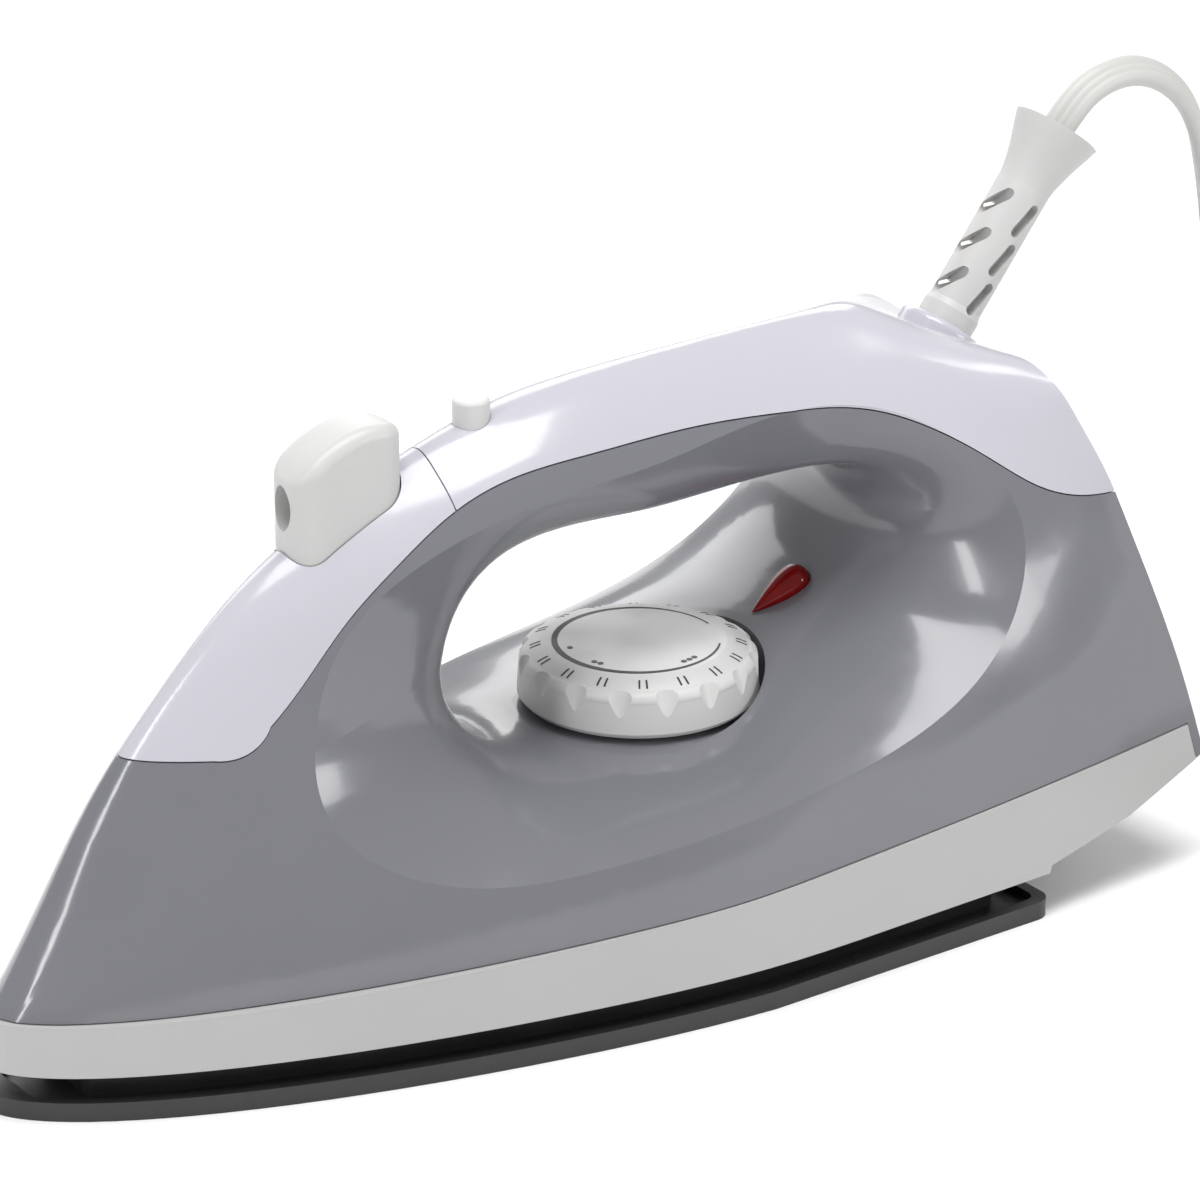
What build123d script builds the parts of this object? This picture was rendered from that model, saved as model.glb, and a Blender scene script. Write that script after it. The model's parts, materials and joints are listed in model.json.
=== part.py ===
from build123d import *
import math
import os

# Clothes iron. X runs from the nose tip to the heel, Y across, Z up from the surface it stands on.
# The origin is under the middle of the iron, so plan(), side() and across() give planes whose
# first coordinate is the distance behind the nose tip.

# ---------------------------------------------------------------- driving dimensions (mm)
body_length = 266.25
nose_x = -body_length / 2
wall = 2.2
seam = 0.3

sole_length = 222.0
sole_half_width = 55.2
sole_full_width_at = 149.0
rim_height = 4.0
rim_width = 2.6
sole_base = 2.2
sole_block_top = 11.0
sole_block_inset = 7.5

skirt_bottom = 9.3
skirt_front_height = 20.0
skirt_rear_rise = 11.3
skirt_inset = 0.5
skirt_end = 2.7
skirt_corner = (260.3, 32.4)
heel_step = 11.0
shield_height = 21.0
shield_thickness = 0.8

rear_foot_x = 264.5
rear_foot_z = 28.0
rear_lean = 19.3

seam_x = 101.3

dial_x = 155.0
dial_radius = 25.0
dial_bottom = 48.8
dial_top = 60.2
dial_rim = 58.6
dial_scallops = 16
dial_flat = 18.2
ring_radius = 16.6
ring_taper = 0.5
pocket_floor = 47.6
shaft_radius = 3.0

button_x = 114.0
button_radius = 3.75
button_top = 122.1
button_travel = 3.5

head_front = 69.6
head_rear = 95.2
head_half_width = 6.6
head_floor = 90.0
nozzle_height = 109.0

guard_foot = (232.6, 0, 110.0)
guard_lean = 38.4
guard_length = 50.0
cord_width = 7.0
guard_base_radius = 6.3
neck_radius = 5.85
bell_radius = 9.5
slot_levels = 6
slot_first = 10.4
slot_pitch = 4.72
slot_length = 8.4
slot_height = 2.5
slot_floor = 3.5
collar_radius = 9.4
collar_height = 2.6

stud_radius = 2.4
element_radius = 3.4
pump_top = 106.4
flange_bottom = 110.4
terminal_rows = (-9.0, 0.0, 9.0)

lens_x = 184.2
lens_z = 58.9
lens_length = 15.6
lens_radius = 3.5
lens_direction = (0.925, 0, 0.38)

coil_centre = (372.0, -24.0)
coil_radius = 38.0
coil_band = 15.0
coil_height = 13.4

# Height of the ridge over the centre line, by distance behind the nose tip.
ridge_points = [
    (1.0, 19.8), (3.6, 23.8), (12.2, 37.6), (21.6, 53.4), (30.5, 65.4), (39.4, 75.1),
    (48.3, 84.2), (61.8, 95.4), (80.0, 105.4), (95.7, 112.0), (109.3, 116.6), (125.0, 119.8),
    (145.0, 121.6), (165.0, 122.2), (204.0, 122.2), (213.0, 120.5), (236.0, 109.0), (272.0, 88.0),
]
# The same ridge read the other way round: the nose line's distance at each height.
stem_points = [(9.0, -0.5), (19.8, 1.0)] + [(z, x) for x, z in ridge_points[1:13]]
# Half width of the upper housing at 108 mm, where the handle runs into the heel.
upper_points = [
    (60.0, 17.0), (120.0, 17.2), (188.0, 17.4), (205.0, 19.8), (220.0, 25.5), (236.0, 34.3),
    (272.0, 54.0),
]
# How deep the top edges are rounded, and how full the flanks are.
crown_points = [
    (70.0, 0.5), (100.0, 6.0), (140.0, 9.0), (192.0, 9.0), (216.0, 6.5), (236.0, 3.0), (272.0, 3.0),
]
flank_points = [(60.0, 1.6), (150.0, 1.6), (236.0, 2.0), (272.0, 2.0)]
nose_points = [(20.0, 54.7), (28.0, 54.0), (67.0, 40.0), (88.0, 37.5), (125.0, 34.0)]

# The hand opening. Each row is one direction round it: the lip on the centre plane (x, z), the
# crease on the flank (x, z, y), and how late the scoop between them flares.
opening_rows = [
    ((103.6, 72.0), (64.2, 66.0, 19.0), 3.0),
    ((106.0, 58.0), (65.0, 50.0, 26.5), 2.8),
    ((117.0, 49.6), (80.5, 40.0, 35.5), 2.6),
    ((136.0, 48.2), (112.0, 37.6, 45.5), 2.6),
    ((160.0, 50.2), (145.0, 41.0, 51.2), 2.6),
    ((183.0, 58.2), (185.0, 47.8, 50.5), 2.4),
    ((198.5, 65.0), (206.0, 56.5, 48.5), 2.2),
    ((206.0, 77.0), (221.0, 75.0, 43.0), 2.0),
    ((203.0, 88.0), (221.0, 91.0, 36.5), 2.0),
    ((184.0, 91.0), (200.0, 105.0, 19.5), 2.4),
    ((150.0, 90.6), (148.0, 105.0, 17.5), 2.6),
    ((117.0, 88.6), (92.0, 96.0, 15.0), 2.8),
]
opening_reaches = [0.0, 0.35, 0.6, 0.8, 0.93, 1.0, 1.12]
opening_outside = 75.0

# The line where the grey housing meets the white covers, seen from the side.
cover_front = [(10.0, 67.6), (45.5, 66.3)]
cover_corner = (52.6, 67.4)
cover_line = [
    (57.0, 71.5), (63.7, 77.5), (75.6, 89.1), (87.4, 97.6), (100.0, 104.8), (115.4, 109.7),
    (135.0, 110.9), (160.0, 110.8), (181.0, 109.3), (203.0, 105.5), (218.6, 96.6), (228.0, 89.6),
    (236.0, 86.8), (244.0, 86.6), (256.0, 89.0), (280.0, 96.0),
]


# ---------------------------------------------------------------- planes
def plan(height):
    """A level plane whose x is the distance behind the nose tip."""
    return Plane((nose_x, 0, height))


def side(y):
    """An upright plane along the iron, seen from the near side."""
    return Plane((nose_x, y, 0), x_dir=(1, 0, 0), z_dir=(0, -1, 0))


def across(x):
    """An upright plane across the iron at a distance behind the nose tip."""
    return Plane((nose_x + x, 0, 0), x_dir=(0, 1, 0), z_dir=(1, 0, 0))


def leaning(x, y, z, lean):
    """A plane whose axis leans back from vertical by an angle in degrees."""
    tilt = math.radians(lean)
    return Plane((nose_x + x, y, z), x_dir=(0, 1, 0), z_dir=(math.sin(tilt), 0, math.cos(tilt)))


def place(x, y, z):
    """A point given by its distance behind the nose tip."""
    return (nose_x + x, y, z)


# ---------------------------------------------------------------- the housing's shape
def through(points, at):
    """A smooth curve through hand-set points: its value at one place."""
    if at <= points[0][0]:
        return points[0][1]
    if at >= points[-1][0]:
        return points[-1][1]
    i = next(k for k in range(len(points) - 1) if at <= points[k + 1][0])
    (x0, y0), (x1, y1) = points[i], points[i + 1]
    before = points[max(i - 1, 0)]
    after = points[min(i + 2, len(points) - 1)]
    span = x1 - x0
    rise0 = span * (y1 - before[1]) / (x1 - before[0])
    rise1 = span * (after[1] - y0) / (after[0] - x0)
    t = (at - x0) / span
    start = (2 * t**3 - 3 * t**2 + 1) * y0 + (t**3 - 2 * t**2 + t) * rise0
    return start + (3 * t**2 - 2 * t**3) * y1 + (t**3 - t**2) * rise1


def bow(distance):
    """The pointed plan form, from 0 at the tip to 1 where the sides run parallel."""
    t = min(max(distance / sole_full_width_at, 0.0), 1.0)
    return (1 - (1 - t)**1.32)**0.60


def belt_half_width(x):
    """Half width of the housing low down, where it meets the skirt."""
    narrowing = 2.7 * ((x - 190) / 74)**2 if x > 190 else 0.0
    return (sole_half_width - skirt_inset) * bow(x) - narrowing


def half_width(x, z):
    """Half width of the housing at a distance behind the nose and a height."""
    ridge = through(ridge_points, x)
    if z >= ridge:
        return 0.0
    behind_nose = x - through(stem_points, z)
    nose = through(nose_points, z) * bow(behind_nose)
    nose *= 1 + 0.35 * min(behind_nose / sole_full_width_at, 1)**2
    if nose <= 0:
        return 0.0
    rise = max(0.0, (z - 28) / 80)
    upper = through(upper_points, x)
    flank = upper + (belt_half_width(x) - upper) * (1 - rise**through(flank_points, x))
    blended = (nose**-10 + max(flank, 1)**-10)**-0.1
    into_crown = max(0.0, 1 - (ridge - z) / through(crown_points, x))
    return blended * (1 - into_crown**2.4)**(1 / 2.4)


def skirt_line(x):
    """Height of the joint between the skirt and the housing."""
    return skirt_front_height + skirt_rear_rise * (x / 245)**1.4


hull_stations = [
    1.5, 4, 8, 14, 22, 32, 44, 58, 74, 90, 106, 122, 142, 166, 190, 202, 211, 219, 227, 236, 252, 270,
]
hull_levels = [0, 0.18, 0.36, 0.54, 0.70, 0.83, 0.92, 0.975]
hull_floor = 12.0


def hull(inset):
    """The housing without its opening, drawn in by an inset for the inside of the walls."""
    with BuildPart() as form:
        for x in hull_stations:
            at = x + 1.6 * inset
            crown = through(ridge_points, at) - 1.15 * inset
            right = []
            for level in hull_levels:
                z = hull_floor + level * (crown - hull_floor)
                right.append((max(half_width(at, z + 1.1 * inset) - inset, 0.4 * (1 - level) + 0.1), z))
            left = [(-y, z) for y, z in reversed(right)]
            with BuildSketch(across(at)):
                with BuildLine():
                    Spline(*right, (0, crown), *left)
                    Line(left[-1], right[0])
                make_face()
        loft()
    return form.part


def opening_loop(reach, mirrored, grow):
    """A closed curve round the opening, at one fraction of the way out from lip to crease."""
    centre = (155.0, 70.0)
    far = reach > opening_reaches[-1]
    points = []
    for lip, crease, late in opening_rows:
        flare = min(reach, opening_reaches[-1])**late
        x = lip[0] + (crease[0] - lip[0]) * flare
        z = lip[1] + (crease[1] - lip[1]) * flare
        out = opening_outside if far else crease[2] * reach
        span = math.hypot(x - centre[0], z - centre[1])
        push = grow + (14 if far else 0)
        x += (x - centre[0]) / span * push
        z += (z - centre[1]) / span * push
        points.append((nose_x + x, -out if mirrored else out, z))
    return Wire([Edge.make_spline([Vector(*point) for point in points], periodic=True)])


def opening(grow):
    """The space of the hand opening and its scoops; grow adds a wall's thickness all round."""
    outward = opening_reaches[1:] + [2.0]
    near = [opening_loop(reach, True, grow) for reach in reversed(outward)]
    far = [opening_loop(reach, False, grow) for reach in outward]
    with BuildPart() as space:
        add(Solid.make_loft(near + [opening_loop(0.0, False, grow)] + far))
    return space.part


def above_cover_line(shift):
    """Everything above the grey and white joint, moved down by a shift."""
    with BuildPart() as region:
        with BuildSketch(side(70)):
            with BuildLine():
                Line((cover_front[0][0], cover_front[0][1] - shift),
                     (cover_front[1][0], cover_front[1][1] - shift))
                ThreePointArc((cover_front[1][0], cover_front[1][1] - shift),
                              (cover_corner[0], cover_corner[1] - shift),
                              (cover_line[0][0], cover_line[0][1] - shift))
                Spline(*[(x, z - shift) for x, z in cover_line])
                Polyline((cover_line[-1][0], cover_line[-1][1] - shift), (280, 150), (10, 150),
                         (cover_front[0][0], cover_front[0][1] - shift))
            make_face()
        extrude(amount=140)
    return region.part


def above_skirt_line(shift):
    """Everything above the joint between skirt and housing, moved up by a shift."""
    with BuildPart() as region:
        with BuildSketch(side(70)):
            with BuildLine():
                line = [(x, skirt_line(max(x, 0)) + shift) for x in (-10, 0, 60, 120, 180, 245, 290)]
                Spline(*line)
                Polyline(line[-1], (290, 150), (-10, 150), line[0])
            make_face()
        extrude(amount=140)
    return region.part


def behind_rear(inset):
    """Everything behind the leaning rear face, moved forward by an inset."""
    with BuildPart() as region:
        with BuildSketch(leaning(rear_foot_x - inset, 0, rear_foot_z, 90 - rear_lean)):
            Rectangle(180, 300)
        extrude(amount=60)
    return region.part


def above_and_behind_skirt(gap):
    """The housing's side of the joint with the skirt, which turns down short of the rear face."""
    with BuildPart() as region:
        add(above_skirt_line(gap))
        add(behind_rear(skirt_end - gap))
        corner = Vector(*place(skirt_corner[0], 0, skirt_corner[1]))
        joints = region.edges().filter_by(Axis.Y)
        fillet(joints.sort_by(lambda edge: (edge.center() - corner).length)[0], 3 + gap)
    return region.part


def sole_outline(inset, length, rear_radius):
    """The pointed sole shape, drawn in by an inset, as an outline for a level sketch."""
    steps = [0, 0.004, 0.016, 0.04, 0.08, 0.15, 0.25, 0.38, 0.52, 0.68, 0.84, 1.0]
    tip = inset * 2.2
    right = []
    for step in steps:
        x = tip + step * (sole_full_width_at - tip)
        right.append((x, max(sole_half_width * bow(x) - inset, 0) if step else 0))
    left = [(x, -y) for x, y in reversed(right[1:])]
    width = right[-1][1]
    with BuildSketch() as outline:
        with BuildLine():
            Spline(*left, *right)
            Polyline(right[-1], (length, width), (length, -width), left[0])
        make_face()
        if rear_radius > 0:
            fillet(outline.vertices().group_by(Axis.X)[-1], rear_radius)
    return outline.sketch


def skirt_outline(inset):
    """The skirt's plan shape: the sole's point, carried on to the heel and drawn in there."""
    places = [0.6, 2.4, 6, 12, 22, 36, 56, 80, 110, 149, 190, 225, 268]
    tip = 0.2 + inset * 1.9
    right = [(tip, 0)]
    for x in places:
        right.append((tip + x, max(belt_half_width(tip + x) - inset, 0.3)))
    left = [(x, -y) for x, y in reversed(right[1:])]
    with BuildSketch() as outline:
        with BuildLine():
            Spline(*left, *right)
            Line(right[-1], left[0])
        make_face()
    return outline.sketch


def below_heel(shift):
    """Everything under the skirt's bottom edge and the heel that slopes up behind the sole."""
    with BuildPart() as region:
        with BuildSketch(side(70)):
            with BuildLine():
                Polyline((-20, skirt_bottom + shift), (221.7, skirt_bottom + shift),
                         (222.2, heel_step + shift), (244, 16.1 + shift), (262.4, 23.2 + shift),
                         (300, 37.6 + shift), (300, -20), (-20, -20), close=True)
            make_face()
        extrude(amount=140)
    return region.part


# ---------------------------------------------------------------- small forms used more than once
def upright(x, y, low, high, radius, bore=0.0):
    """A round post or tube standing between two heights."""
    with BuildPart() as post:
        with BuildSketch(plan(low)):
            with Locations((x, y)):
                Circle(radius)
                if bore > 0:
                    Circle(bore, mode=Mode.SUBTRACT)
        extrude(amount=high - low)
    return post.part


def block(x0, x1, y0, y1, z0, z1):
    """A plain box between two corners, with x behind the nose tip."""
    with BuildPart() as form:
        with BuildSketch(plan(z0)):
            with Locations(((x0 + x1) / 2, (y0 + y1) / 2)):
                Rectangle(x1 - x0, y1 - y0)
        extrude(amount=z1 - z0)
    return form.part


def screw(plane, shank_radius, shank_length, head_radius, head_height):
    """A pan-head screw whose head stands on a plane and whose shank runs down its axis."""
    with BuildPart() as fastener:
        with BuildSketch(plane):
            Circle(head_radius)
        extrude(amount=head_height)
        fillet(fastener.edges().sort_by(Axis.Z)[-1:], head_height * 0.45)
        with BuildSketch(plane.offset(head_height)):
            Rectangle(head_radius * 1.3, head_radius * 0.28)
            Rectangle(head_radius * 0.28, head_radius * 1.3)
        extrude(amount=-head_height * 0.6, mode=Mode.SUBTRACT)
        with BuildSketch(plane):
            Circle(shank_radius)
        extrude(amount=-shank_length)
    return fastener.part


def tube_along(points, radii, radius):
    """A round tube along straight runs joined by tangent arcs."""
    with BuildPart() as tube:
        with BuildLine() as path:
            FilletPolyline(*points, radius=radii)
        with BuildSketch(Plane(points[0], z_dir=path.wires()[0] % 0)):
            Circle(radius)
        sweep(path=path.wires()[0])
    return tube.part


def arc_radii(points, name):
    """The largest arc each corner of a route allows, printed for checking."""
    radii = []
    for before, corner, after in zip(points, points[1:], points[2:]):
        back = Vector(*corner) - Vector(*before)
        ahead = Vector(*after) - Vector(*corner)
        turn = math.radians(back.get_angle(ahead))
        radii.append(0.45 * min(back.length, ahead.length) / math.tan(turn / 2))
    print(name, "arc radii", [round(radius, 1) for radius in radii])
    return radii


def rounded_block_outline(x0, x1, half, corner):
    """A long plan shape with rounded corners."""
    with BuildSketch() as outline:
        with Locations(((x0 + x1) / 2, 0)):
            RectangleRounded(x1 - x0, 2 * half, corner)
    return outline.sketch


def lens_form(grow):
    """The teardrop of the lamp lens: a long point towards the dial and a round rear end."""
    tail = lens_length - lens_radius
    with BuildPart() as drop:
        with BuildSketch(Plane(place(lens_x, 0, lens_z), x_dir=lens_direction, z_dir=(0, -1, 0))):
            with BuildLine():
                Spline((-grow, 0), (tail * 0.45, lens_radius * 0.62 + grow), (tail, lens_radius + grow),
                       tangents=[(1, 0.42), (1, 0)])
                RadiusArc((tail, lens_radius + grow), (lens_length + grow, 0), lens_radius + grow)
                Line((lens_length + grow, 0), (-grow, 0))
            make_face()
        revolve(axis=Axis(place(lens_x, 0, lens_z), lens_direction))
    return drop.part


def ring_point(distance, turn):
    """A point round the dial's axis; 0 degrees is towards the lamp lens."""
    angle = math.radians(turn)
    return (dial_x + distance * math.cos(angle), distance * math.sin(angle))


def save(part, name):
    """Label one finished piece and write it as its own file."""
    part.label = name
    export_step(part, "parts/" + name + ".step")


def group(name, pieces):
    """Several separate pieces of one kind, kept together in one file."""
    save(Compound(children=[piece for piece in pieces]), name)


# ---------------------------------------------------------------- shared forms
outside = hull(0)
inside = hull(wall)
hand_space = opening(0)
hand_wall = opening(wall)
behind_outside = behind_rear(0)
behind_inside = behind_rear(wall)
white_side = above_cover_line(0)
grey_limit = above_cover_line(seam)
over_skirt = above_and_behind_skirt(0)
over_skirt_seam = above_and_behind_skirt(seam)
housing = outside - hand_space - behind_outside
cavity = inside - hand_wall - behind_inside
shell = housing - cavity
guard_axis = leaning(*guard_foot, guard_lean)
rear_face = leaning(rear_foot_x, 0, rear_foot_z, 90 - rear_lean)

os.makedirs("parts", exist_ok=True)

# ---------------------------------------------------------------- soleplate
stud_places = [(30.0, 0.0), (198.0, 26.0), (198.0, -26.0)]
with BuildPart() as soleplate:
    with BuildSketch(plan(0)):
        add(sole_outline(0, sole_length, 4.0))
    extrude(amount=rim_height)
    with BuildSketch(plan(sole_base)):
        add(sole_outline(rim_width, sole_length - rim_width, 2.5))
    extrude(amount=10, mode=Mode.SUBTRACT)
    with BuildSketch(plan(sole_base)):
        add(sole_outline(sole_block_inset, sole_length - sole_block_inset, 6.0))
    extrude(amount=sole_block_top - sole_base)
    with BuildSketch(plan(sole_block_top)):
        with Locations(*stud_places):
            Circle(stud_radius)
    extrude(amount=-6, mode=Mode.SUBTRACT)
save(soleplate.part, "soleplate")

group("sole_studs", [upright(x, y, sole_block_top - 6, 29, stud_radius) for x, y in stud_places])
group("shield_spacers", [upright(x, y, sole_block_top, shield_height, 4.2, stud_radius + 0.1)
                         for x, y in stud_places])

with BuildPart() as stud_nuts:
    with BuildSketch(plan(shield_height + shield_thickness)):
        with Locations(*stud_places):
            RegularPolygon(4.6, 6)
            Circle(stud_radius, mode=Mode.SUBTRACT)
    extrude(amount=4)
save(stud_nuts.part, "stud_nuts")

with BuildPart() as sole_cover:
    with BuildSketch(plan(sole_block_top)):
        with BuildLine():
            Polyline((60, 9), (74, 15), (138, 15), (138, -15), (74, -15), (60, -9), close=True)
        make_face()
    extrude(amount=1.2)
    fillet(sole_cover.edges().filter_by(Axis.Z), 4)
save(sole_cover.part, "sole_cover")

element_height = sole_block_top + element_radius
element_route = [
    place(196, -12, element_height), place(186, -31, element_height),
    place(140, -36, element_height), place(92, -28, element_height),
    place(46, -8, element_height), place(46, 8, element_height),
    place(92, 28, element_height), place(140, 36, element_height),
    place(186, 31, element_height), place(196, 12, element_height),
]
save(tube_along(element_route, [7, 12, 40, 30, 7.5, 7.5, 30, 40, 12, 7][1:-1], element_radius),
     "heating_element")

with BuildPart() as heat_shield:
    with BuildSketch(plan(shield_height)):
        add(sole_outline(5.2, 216, 6))
    extrude(amount=shield_thickness)
    with BuildSketch(plan(shield_height)):
        with Locations(*stud_places):
            Circle(stud_radius + 0.1)
    extrude(amount=shield_thickness, mode=Mode.SUBTRACT)
save(heat_shield.part, "heat_shield")

# ---------------------------------------------------------------- skirt and housing shells
heel_screw_places = [(250.0, 31.0), (250.0, -31.0)]
heel_screw_seat = 20.8
heel_thickness = 3.8
with BuildPart() as skirt:
    with BuildSketch(plan(skirt_bottom)):
        add(skirt_outline(0))
    extrude(amount=24)
    with BuildSketch(plan(skirt_bottom - 1)):
        add(skirt_outline(wall))
    extrude(amount=26, mode=Mode.SUBTRACT)
    with BuildSketch(plan(shield_height - 2.4)):
        add(skirt_outline(wall - 0.2))
        add(skirt_outline(7.5), mode=Mode.SUBTRACT)
    extrude(amount=2.2)
    add(over_skirt, mode=Mode.SUBTRACT)
heel_floor = below_heel(heel_thickness) & block(222.2, 275, -60, 60, 0, 40)
with BuildPart() as heel_slab:
    with BuildSketch(plan(skirt_bottom - 2)):
        add(skirt_outline(0.4))
    extrude(amount=30)
    add(heel_floor, mode=Mode.INTERSECT)
skirt_body = skirt.part + heel_slab.part - below_heel(0) - over_skirt
for x, y in heel_screw_places:
    skirt_body -= upright(x, y, 0, 40, 1.6)
    skirt_body -= upright(x, y, 0, heel_screw_seat, 3.1)
save(skirt_body, "skirt")
group("skirt_screws", [
    screw(Plane(place(x, y, heel_screw_seat), z_dir=(0, 0, -1)), 1.5, 12, 2.9, 1.6)
    for x, y in heel_screw_places
])

with BuildPart() as pocket_wall:
    with BuildSketch(plan(pocket_floor - wall)):
        with Locations((dial_x, 0)):
            Circle(dial_radius + 3.3)
    extrude(amount=22)
    add(hand_space, mode=Mode.SUBTRACT)
with BuildPart() as heel_plate:
    with BuildSketch(rear_face):
        with Locations((0, 34)):
            RectangleRounded(58, 46, 5)
    extrude(amount=-wall)
    with BuildSketch(rear_face):
        with Locations((0, 24), (0, 30), (0, 36), (0, 42)):
            SlotOverall(40, 1.6)
    extrude(amount=-0.7, mode=Mode.SUBTRACT)
    with BuildSketch(rear_face):
        with Locations((0, 51)):
            Circle(1.7)
    extrude(amount=-wall, mode=Mode.SUBTRACT)
save(heel_plate.part, "heel_plate")
with BuildPart() as heel_hole:
    with BuildSketch(rear_face.offset(2)):
        with Locations((0, 34)):
            RectangleRounded(58 + 2 * seam, 46 + 2 * seam, 5 + seam)
    extrude(amount=-wall - 4)

with BuildPart() as heel_lug:
    with BuildSketch(rear_face.offset(-wall)):
        with Locations((0, 53.5)):
            RectangleRounded(16, 13, 2)
    extrude(amount=-2.4)
    with BuildSketch(rear_face.offset(-wall)):
        with Locations((0, 51)):
            Circle(1.6)
    extrude(amount=-5, mode=Mode.SUBTRACT)
heel_screw_plane = Plane(rear_face.from_local_coords((0, 51, 0)), x_dir=rear_face.x_dir,
                         z_dir=rear_face.z_dir)
save(screw(heel_screw_plane, 1.55, 8, 3.0, 1.4), "heel_screw")

bush_outer = 5.0
with BuildPart() as posts:
    with BuildSketch(plan(22.6)):
        with Locations(*heel_screw_places):
            Circle(4.2)
    extrude(amount=48)
    add(housing, mode=Mode.INTERSECT)
with BuildPart() as body_shell:
    add(shell)
    add(pocket_wall.part)
    add(posts.part)
    add(heel_lug.part)
    add(grey_limit, mode=Mode.SUBTRACT)
    add(over_skirt_seam, mode=Mode.INTERSECT)
    add(below_heel(0), mode=Mode.SUBTRACT)
    add(heel_hole.part, mode=Mode.SUBTRACT)
    add(lens_form(0.12), mode=Mode.SUBTRACT)
    with BuildSketch(plan(pocket_floor)):
        with Locations((dial_x, 0)):
            Circle(dial_radius + 1.1)
    extrude(amount=24, mode=Mode.SUBTRACT)
    with BuildSketch(plan(40)):
        with Locations((dial_x, 0)):
            Circle(bush_outer)
    extrude(amount=10, mode=Mode.SUBTRACT)
    with BuildSketch(plan(10)):
        with Locations(*heel_screw_places):
            Circle(1.5)
    extrude(amount=24, mode=Mode.SUBTRACT)
save(body_shell.part, "body_shell")

white = shell & white_side
head_outline = rounded_block_outline(head_front, head_rear, head_half_width, 5.6)
with BuildPart() as head_hole:
    with BuildSketch(plan(head_floor)):
        add(rounded_block_outline(head_front - 0.3, head_rear + 0.3, head_half_width + 0.3, 5.9))
    extrude(amount=50)
white = white - head_hole.part - upright(button_x, 0, 100, 130, button_radius + 0.1)
front_half = block(-5, seam_x - seam / 2, -60, 60, 60, 140)
rear_half = block(seam_x + seam / 2, 280, -60, 60, 60, 140)
save(white & front_half, "front_cover")

with BuildPart() as guard_boss:
    with BuildSketch(guard_axis.offset(-9)):
        Circle(collar_radius)
    extrude(amount=9 + collar_height)
    fillet(guard_boss.edges().sort_by(Axis.Z)[-1:], 1.6)
guard_cut = (guard_boss.part - cavity) & rear_half
with BuildPart() as guard_bore:
    with BuildSketch(guard_axis.offset(-30)):
        Circle(guard_base_radius + 0.15)
    extrude(amount=60)
save((white & rear_half) + guard_cut - guard_bore.part, "handle_cover")

# ---------------------------------------------------------------- cord guard and cord
with BuildPart() as cord_guard:
    with BuildSketch(Plane(guard_axis.origin, x_dir=guard_axis.z_dir, z_dir=(0, -1, 0))):
        with BuildLine():
            Polyline((-7, 0), (-7, guard_base_radius), (6, guard_base_radius), (7.4, neck_radius),
                     (36, neck_radius))
            Spline((36, neck_radius), (41, 6.7), (46, 8.2), (guard_length, bell_radius),
                   tangents=[(1, 0.05), (1, 0.28)])
            Polyline((guard_length, bell_radius), (guard_length - 0.6, bell_radius - 1.5),
                     (guard_length - 5, 4.4), (guard_length - 5, 0), (-7, 0))
        make_face()
    revolve(axis=Axis(guard_axis.origin, guard_axis.z_dir))
    for level in range(slot_levels):
        for half_turn in (0, 180):
            ring = guard_axis.offset(slot_first + slot_pitch * level)
            turned = ring.rotated((0, 0, half_turn + 90 * (level % 2)))
            floor_point = turned.from_local_coords((slot_floor, 0, 0))
            with BuildSketch(Plane(floor_point, x_dir=turned.y_dir, z_dir=turned.x_dir)):
                SlotOverall(slot_length, slot_height)
            extrude(amount=8, mode=Mode.SUBTRACT)
save(cord_guard.part, "cord_guard")

cord_start = guard_axis.from_local_coords((0, 0, guard_length - 5))
cord_route = [
    (cord_start.X, cord_start.Y, cord_start.Z), place(267.6, 0, 154.2), place(276.3, 0, 158.6),
    place(286.4, 0, 158.6), place(295.8, 0, 153.7), place(302.4, 0, 145.6), place(306.6, 0, 132),
    place(310.8, 0.6, 112), place(315.6, 2.0, 88), place(321.4, 4.4, 64), place(329.6, 8.0, 42),
    place(341.0, 12.4, 24), place(354.0, 15.6, 12.6), place(364.0, 17.0, 8.6),
]
cord_radii = arc_radii(cord_route, "cord")
cord = tube_along(cord_route, cord_radii, cord_width / 2)
runs = sum((Vector(*b) - Vector(*a)).length for a, b in zip(cord_route, cord_route[1:]))
print("cord volume", round(cord.volume), "section x runs", round(math.pi * cord_width**2 / 4 * runs))
save(cord, "cord")

with BuildPart() as cord_coil:
    with BuildSketch(plan(0.9)):
        with Locations(coil_centre):
            Circle(coil_radius + coil_band / 2)
            Circle(coil_radius - coil_band / 2, mode=Mode.SUBTRACT)
    extrude(amount=coil_height)
    fillet(cord_coil.edges(), 1.6)
save(cord_coil.part, "cord_coil")

tie_x = coil_centre[0] + coil_radius
with BuildPart() as cord_tie:
    with BuildSketch(side(coil_centre[1] + 4)):
        with Locations((tie_x, 0.9 + coil_height / 2)):
            RectangleRounded(coil_band + 1.8, coil_height + 1.8, 2.2)
            RectangleRounded(coil_band + 0.2, coil_height + 0.2, 1.6, mode=Mode.SUBTRACT)
    extrude(amount=8)
save(cord_tie.part, "cord_tie")

plug_nose_x = 302.0
plug_y = -81.0
tail_route = [
    place(366, coil_centre[1] - coil_radius - coil_band / 4, 11.2), place(352, -68.2, 10.2),
    place(338, -72.4, 9.2), place(326, -78.0, 8.5), place(plug_nose_x + 12, plug_y, 8.2),
]
save(tube_along(tail_route, arc_radii(tail_route, "tail"), cord_width / 2), "cord_tail")

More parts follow.
